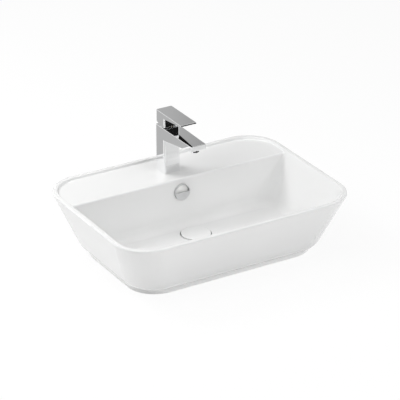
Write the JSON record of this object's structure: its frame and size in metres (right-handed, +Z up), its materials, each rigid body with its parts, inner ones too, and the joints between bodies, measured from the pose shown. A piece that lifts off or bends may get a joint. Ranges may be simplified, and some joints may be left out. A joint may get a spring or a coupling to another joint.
{
  "type": "countertop washbasin",
  "caption": "Rectangular countertop basin of white china with leaning walls, a low foot and a flat tap ledge, fitted with a square single-lever mixer, a round overflow and a click waste.",
  "frame": {"origin": "on the counter, in the plane of the foot's underside, under the middle of the foot", "axes": "+X to the user's right along the basin's length, +Y to the back towards the wall, +Z up"},
  "size_m": [0.6, 0.437, 0.356],
  "materials": {
    "glazed_china": "glossy white glaze",
    "chrome": "polished chrome plate",
    "brass": "turned brass",
    "steel": "zinc-plated or stainless steel",
    "seal_rubber": "black rubber",
    "white_plastic": "moulded acetal",
    "dark_plastic": "moulded dark plastic",
    "disc_ceramic": "lapped alumina"
  },
  "bodies": {
    "basin": {"basin_body": "glazed_china", "mixer_body": "chrome", "aerator_housing": "chrome", "cartridge_cover": "chrome", "waste_body": "chrome", "waste_back_nut": "brass", "cartridge_nut": "brass", "click_barrel": "brass", "overflow_cover": "steel", "fixing_stud": "steel", "fixing_nut": "steel", "horseshoe_plate": "steel", "click_spring": "steel", "waste_flange_gasket": "seal_rubber", "waste_lower_gasket": "seal_rubber", "mixer_base_seal": "seal_rubber", "horseshoe_seal": "seal_rubber", "cartridge_seals": "seal_rubber", "aerator_washer": "seal_rubber", "overflow_collar": "white_plastic", "cartridge_base": "white_plastic", "cartridge_housing": "white_plastic", "waste_washer": "white_plastic", "aerator_insert": "dark_plastic", "fixed_disc": "disc_ceramic"},
    "swivel": {"cartridge_yoke": "white_plastic", "pivot_pin": "steel"},
    "lever": {"lever_stem": "steel", "lever_handle": "chrome", "lever_screw": "steel", "lever_plug": "dark_plastic"},
    "disc_slider": {"moving_disc": "disc_ceramic", "disc_carrier": "white_plastic"},
    "waste_plug": {"waste_cap": "glazed_china", "cap_carrier": "white_plastic", "cap_seal": "seal_rubber", "click_plunger": "brass"}
  },
  "joints": [
    {"name": "lever_swivel", "type": "hinge", "parent": "basin", "child": "swivel", "pos_m": [0, 0.144, 0.244], "axis": [0, 0, 1], "range_deg": [-45, 45]},
    {"name": "lever_lift", "type": "hinge", "parent": "swivel", "child": "lever", "pos_m": [0, 0.144, 0.244], "axis": [-1, 0, 0], "range_deg": [0, 20]},
    {"name": "disc_slide", "type": "slide", "parent": "swivel", "child": "disc_slider", "axis": [0, -1, 0], "range_m": [0, 0.003]},
    {"name": "cap_click", "type": "slide", "parent": "basin", "child": "waste_plug", "axis": [0, 0, 1], "range_m": [0, 0.009], "deforming": ["click_spring"]}
  ],
  "couplings": [
    {"joint": "disc_slide", "follows": "lever_lift", "m_per_rad": 0.00859}
  ]
}
